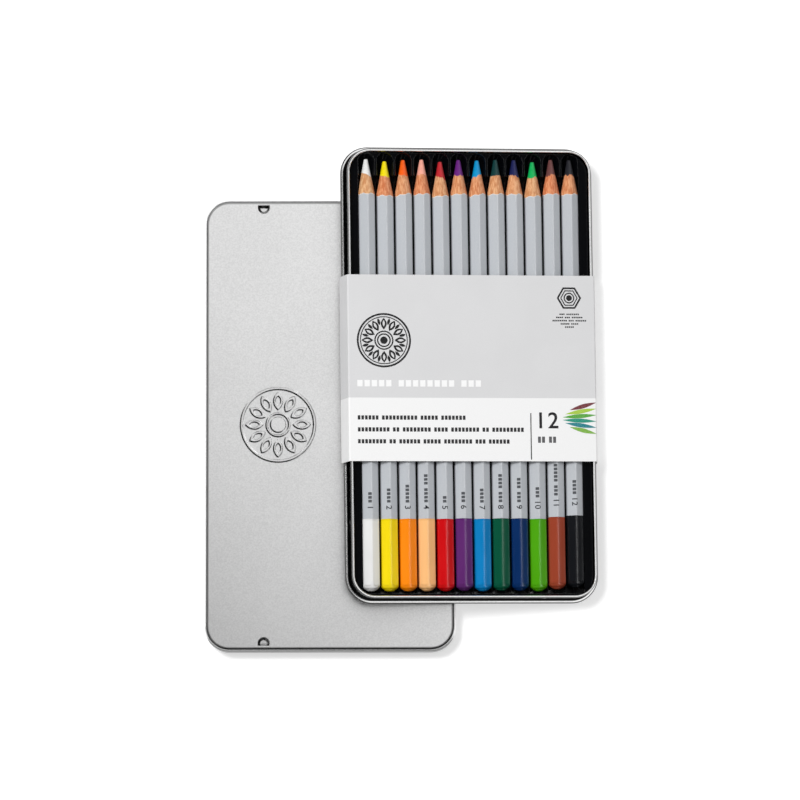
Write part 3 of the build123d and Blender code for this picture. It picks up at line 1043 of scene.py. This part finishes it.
# Softboxes: what each lights, where it stands and what it points at in metres, its width
# and height, its level, where 1 mirrors as white, and its turn about its own aim
SOFTBOXES = {
    "lid_above": ("lid", (0.05, 0.15, 0.6), (0.05, 0.15, 0.0), (0.5, 0.9), 1.11, math.pi / 4),
    "lid_left": ("lid", (-1.0, 0.5, 0.3), LID_AIM, (1.2, 0.4), 1.0, 0.0),
    "lid_right": ("lid", (0.8, 0.8, 0.7), LID_AIM, (1.2, 0.5), 1.6, 0.0),
    **lid_walls(),
    "base_left": ("base", (-0.9, 0.0, 0.8), ORIGIN, (1.6, 0.9), 1.7, 0.0),
    "base_right": ("base", (0.55, 0.0, 0.95), ORIGIN, (1.6, 1.1), 1.15, 0.0),
    "base_top": ("base", (0.0, 0.9, 0.7), ORIGIN, (1.6, 0.8), 0.42, 0.0),
    "base_bottom": ("base", (0.0, -0.9, 0.7), ORIGIN, (1.6, 0.8), 0.52, 0.0),
    "tray_left": ("tray", (-1.0, 0.0, 0.7), ORIGIN, (1.6, 0.3), 3.0, 0.0),
    "tray_right": ("tray", (1.1, 0.0, 0.35), ORIGIN, (1.6, 0.3), 3.0, 0.0),
    "tray_top": ("tray", (0.0, 1.0, 0.7), ORIGIN, (1.6, 0.3), 3.0, 0.0),
    "tray_bottom": ("tray", (0.0, -1.0, 0.6), ORIGIN, (1.6, 0.3), 2.0, 0.0),
    "pencils_right": ("pencils", (0.62, 0.1, 0.72), (0.03, 0.0, 0.0), (1.2, 0.42), 5.0, 0.0),
}


def make_lamps():
    """A far key that lights evenly, and softboxes for the shiny surfaces."""
    key = area_lamp("key_upper_left", KEY_SPOT, ORIGIN, KEY_SIZE, KEY_WATTS)
    key.visible_glossy = False
    tray = "pencil_tray"
    pencils = [node for node in frame["nodes"] if node.startswith("pencil_") and node != tray]
    lit = {"lid": ["lid"], "base": ["base_tin"], "tray": [tray], "pencils": pencils}
    for name, (group, spot, aim, size, level, turn) in SOFTBOXES.items():
        reflected_lamp(name, spot, aim, size, level, lit[group], turn)


def make_camera():
    """A camera almost straight above, tipped and rolled as the photograph's is."""
    data = bpy.data.cameras.new("camera")
    data.sensor_width = SENSOR_WIDTH
    field = PICTURE_SIZE / PIXELS_PER_METRE
    data.lens = SENSOR_WIDTH * CAMERA_DISTANCE / field
    data.clip_start, data.clip_end = CAMERA_CLIP
    camera = bpy.data.objects.new("camera", data)
    back = Vector((0, -math.sin(CAMERA_TIP), math.cos(CAMERA_TIP)))
    up = Vector((0, math.cos(CAMERA_TIP), math.sin(CAMERA_TIP)))
    right = Vector((1, 0, 0))
    turned_up = up * math.cos(CAMERA_ROLL) + right * math.sin(CAMERA_ROLL)
    turned_right = right * math.cos(CAMERA_ROLL) - up * math.sin(CAMERA_ROLL)
    place = place_from((turned_right, turned_up, back), CAMERA_TARGET + back * CAMERA_DISTANCE)
    camera.matrix_world = place
    bpy.context.scene.collection.objects.link(camera)
    bpy.context.scene.camera = camera


dress_tin()
dress_pencils()
print_sleeve()
print_barrels()
make_world()
make_floor()
make_lamps()
make_camera()
bpy.context.scene.view_settings.view_transform = "Standard"
